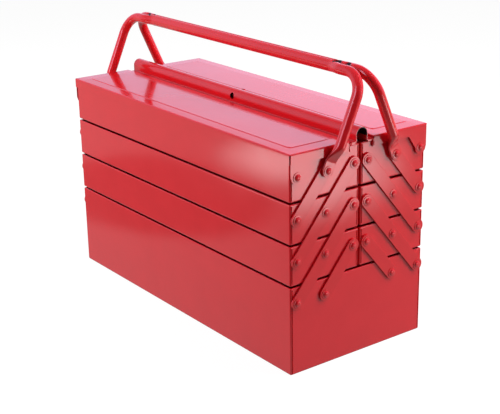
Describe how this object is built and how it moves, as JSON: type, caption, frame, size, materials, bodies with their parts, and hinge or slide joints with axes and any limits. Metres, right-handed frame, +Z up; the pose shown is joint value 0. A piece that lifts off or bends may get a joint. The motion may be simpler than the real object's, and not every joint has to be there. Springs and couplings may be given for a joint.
{
  "type": "cantilever tool box",
  "caption": "Cantilever tool box of folded sheet steel: stacked trays swing outward on riveted arms, under two hinged lids, a padlock ridge and two folding tube handles.",
  "frame": {"origin": "middle of the base's underside, on the surface that the box stands on", "axes": "+X along the box's length, -Y to the front, +Z up"},
  "size_m": [0.4892, 0.2, 0.3368],
  "materials": {
    "box_enamel": "gloss red stoving enamel on folded sheet steel",
    "arm_enamel": "gloss red stoving enamel on flat steel bar",
    "handle_enamel": "gloss red stoving enamel on steel tube",
    "rivet_enamel": "gloss red enamel over steel rivets and washers"
  },
  "bodies": {
    "base": {"base_box": "box_enamel", "base_rivets": "rivet_enamel", "base_washers": "rivet_enamel"},
    "front_lower_tray": {"front_lower_tray": "box_enamel", "front_lower_tray_rivets": "rivet_enamel", "front_lower_tray_washers": "rivet_enamel"},
    "front_middle_tray": {"front_middle_tray": "box_enamel", "front_middle_tray_rivets": "rivet_enamel", "front_middle_tray_washers": "rivet_enamel"},
    "front_top_tray": {"front_top_tray": "box_enamel", "front_top_tray_rivets": "rivet_enamel", "front_top_tray_washers": "rivet_enamel"},
    "front_top_arms": {"front_top_arm_right": "arm_enamel", "front_top_arm_left": "arm_enamel"},
    "front_upper_arms": {"front_upper_arm_right": "arm_enamel", "front_upper_arm_left": "arm_enamel"},
    "front_lower_arms": {"front_lower_arm_right": "arm_enamel", "front_lower_arm_left": "arm_enamel"},
    "front_bottom_arms": {"front_bottom_arm_right": "arm_enamel", "front_bottom_arm_left": "arm_enamel"},
    "front_lid": {"front_lid": "box_enamel", "ridge_channel": "box_enamel"},
    "front_handle": {"front_handle_grip": "handle_enamel", "front_handle_leg_right": "handle_enamel", "front_handle_leg_left": "handle_enamel"},
    "back_lower_tray": {"back_lower_tray": "box_enamel", "back_lower_tray_rivets": "rivet_enamel", "back_lower_tray_washers": "rivet_enamel"},
    "back_middle_tray": {"back_middle_tray": "box_enamel", "back_middle_tray_rivets": "rivet_enamel", "back_middle_tray_washers": "rivet_enamel"},
    "back_top_tray": {"back_top_tray": "box_enamel", "back_top_tray_rivets": "rivet_enamel", "back_top_tray_washers": "rivet_enamel"},
    "back_top_arms": {"back_top_arm_right": "arm_enamel", "back_top_arm_left": "arm_enamel"},
    "back_upper_arms": {"back_upper_arm_right": "arm_enamel", "back_upper_arm_left": "arm_enamel"},
    "back_lower_arms": {"back_lower_arm_right": "arm_enamel", "back_lower_arm_left": "arm_enamel"},
    "back_bottom_arms": {"back_bottom_arm_right": "arm_enamel", "back_bottom_arm_left": "arm_enamel"},
    "back_lid": {"back_lid": "box_enamel", "padlock_lug": "box_enamel"},
    "back_handle": {"back_handle_grip": "handle_enamel", "back_handle_leg_right": "handle_enamel", "back_handle_leg_left": "handle_enamel"}
  },
  "joints": [
    {"name": "front_trays_open", "type": "hinge", "parent": "base", "child": "front_lower_arms", "pos_m": [0, -0.09, 0.0865], "axis": [1, 0, 0], "range_deg": [0, 82]},
    {"name": "front_bottom_arm_pivot", "type": "hinge", "parent": "base", "child": "front_bottom_arms", "pos_m": [0, -0.05, 0.0865], "axis": [1, 0, 0], "range_deg": [0, 82]},
    {"name": "front_lower_tray_pivot", "type": "hinge", "parent": "front_lower_arms", "child": "front_lower_tray", "pos_m": [0, -0.05, 0.1345], "axis": [1, 0, 0], "range_deg": [-82, 0]},
    {"name": "front_middle_tray_pivot", "type": "hinge", "parent": "front_lower_arms", "child": "front_middle_tray", "pos_m": [0, -0.01, 0.1825], "axis": [1, 0, 0], "range_deg": [-82, 0]},
    {"name": "front_upper_arm_pivot", "type": "hinge", "parent": "front_lower_tray", "child": "front_upper_arms", "pos_m": [0, -0.09, 0.1345], "axis": [1, 0, 0], "range_deg": [0, 82]},
    {"name": "front_top_tray_pivot", "type": "hinge", "parent": "front_upper_arms", "child": "front_top_tray", "pos_m": [0, -0.01, 0.2305], "axis": [1, 0, 0], "range_deg": [-82, 0]},
    {"name": "front_top_arm_pivot", "type": "hinge", "parent": "front_middle_tray", "child": "front_top_arms", "pos_m": [0, -0.09, 0.1825], "axis": [1, 0, 0], "range_deg": [0, 82]},
    {"name": "front_lid_hinge", "type": "hinge", "parent": "front_top_tray", "child": "front_lid", "pos_m": [0, -0.09, 0.2305], "axis": [1, 0, 0], "range_deg": [0, 110]},
    {"name": "front_handle_swing", "type": "hinge", "parent": "front_top_tray", "child": "front_handle", "pos_m": [0, -0.05, 0.2305], "axis": [1, 0, 0], "range_deg": [0, 172]},
    {"name": "back_trays_open", "type": "hinge", "parent": "base", "child": "back_lower_arms", "pos_m": [0, 0.09, 0.0865], "axis": [-1, 0, 0], "range_deg": [0, 82]},
    {"name": "back_bottom_arm_pivot", "type": "hinge", "parent": "base", "child": "back_bottom_arms", "pos_m": [0, 0.05, 0.0865], "axis": [-1, 0, 0], "range_deg": [0, 82]},
    {"name": "back_lower_tray_pivot", "type": "hinge", "parent": "back_lower_arms", "child": "back_lower_tray", "pos_m": [0, 0.05, 0.1345], "axis": [-1, 0, 0], "range_deg": [-82, 0]},
    {"name": "back_middle_tray_pivot", "type": "hinge", "parent": "back_lower_arms", "child": "back_middle_tray", "pos_m": [0, 0.01, 0.1825], "axis": [-1, 0, 0], "range_deg": [-82, 0]},
    {"name": "back_upper_arm_pivot", "type": "hinge", "parent": "back_lower_tray", "child": "back_upper_arms", "pos_m": [0, 0.09, 0.1345], "axis": [-1, 0, 0], "range_deg": [0, 82]},
    {"name": "back_top_tray_pivot", "type": "hinge", "parent": "back_upper_arms", "child": "back_top_tray", "pos_m": [0, 0.01, 0.2305], "axis": [-1, 0, 0], "range_deg": [-82, 0]},
    {"name": "back_top_arm_pivot", "type": "hinge", "parent": "back_middle_tray", "child": "back_top_arms", "pos_m": [0, 0.09, 0.1825], "axis": [-1, 0, 0], "range_deg": [0, 82]},
    {"name": "back_lid_hinge", "type": "hinge", "parent": "back_top_tray", "child": "back_lid", "pos_m": [0, 0.09, 0.2305], "axis": [-1, 0, 0], "range_deg": [0, 110]},
    {"name": "back_handle_swing", "type": "hinge", "parent": "back_top_tray", "child": "back_handle", "pos_m": [0, 0.05, 0.2305], "axis": [-1, 0, 0], "range_deg": [0, 172]}
  ],
  "couplings": [
    {"joint": "front_bottom_arm_pivot", "follows": "front_trays_open", "ratio": 1},
    {"joint": "front_lower_tray_pivot", "follows": "front_trays_open", "ratio": -1},
    {"joint": "front_middle_tray_pivot", "follows": "front_trays_open", "ratio": -1},
    {"joint": "front_upper_arm_pivot", "follows": "front_trays_open", "ratio": 1},
    {"joint": "front_top_tray_pivot", "follows": "front_trays_open", "ratio": -1},
    {"joint": "front_top_arm_pivot", "follows": "front_trays_open", "ratio": 1},
    {"joint": "back_bottom_arm_pivot", "follows": "back_trays_open", "ratio": 1},
    {"joint": "back_lower_tray_pivot", "follows": "back_trays_open", "ratio": -1},
    {"joint": "back_middle_tray_pivot", "follows": "back_trays_open", "ratio": -1},
    {"joint": "back_upper_arm_pivot", "follows": "back_trays_open", "ratio": 1},
    {"joint": "back_top_tray_pivot", "follows": "back_trays_open", "ratio": -1},
    {"joint": "back_top_arm_pivot", "follows": "back_trays_open", "ratio": 1}
  ]
}
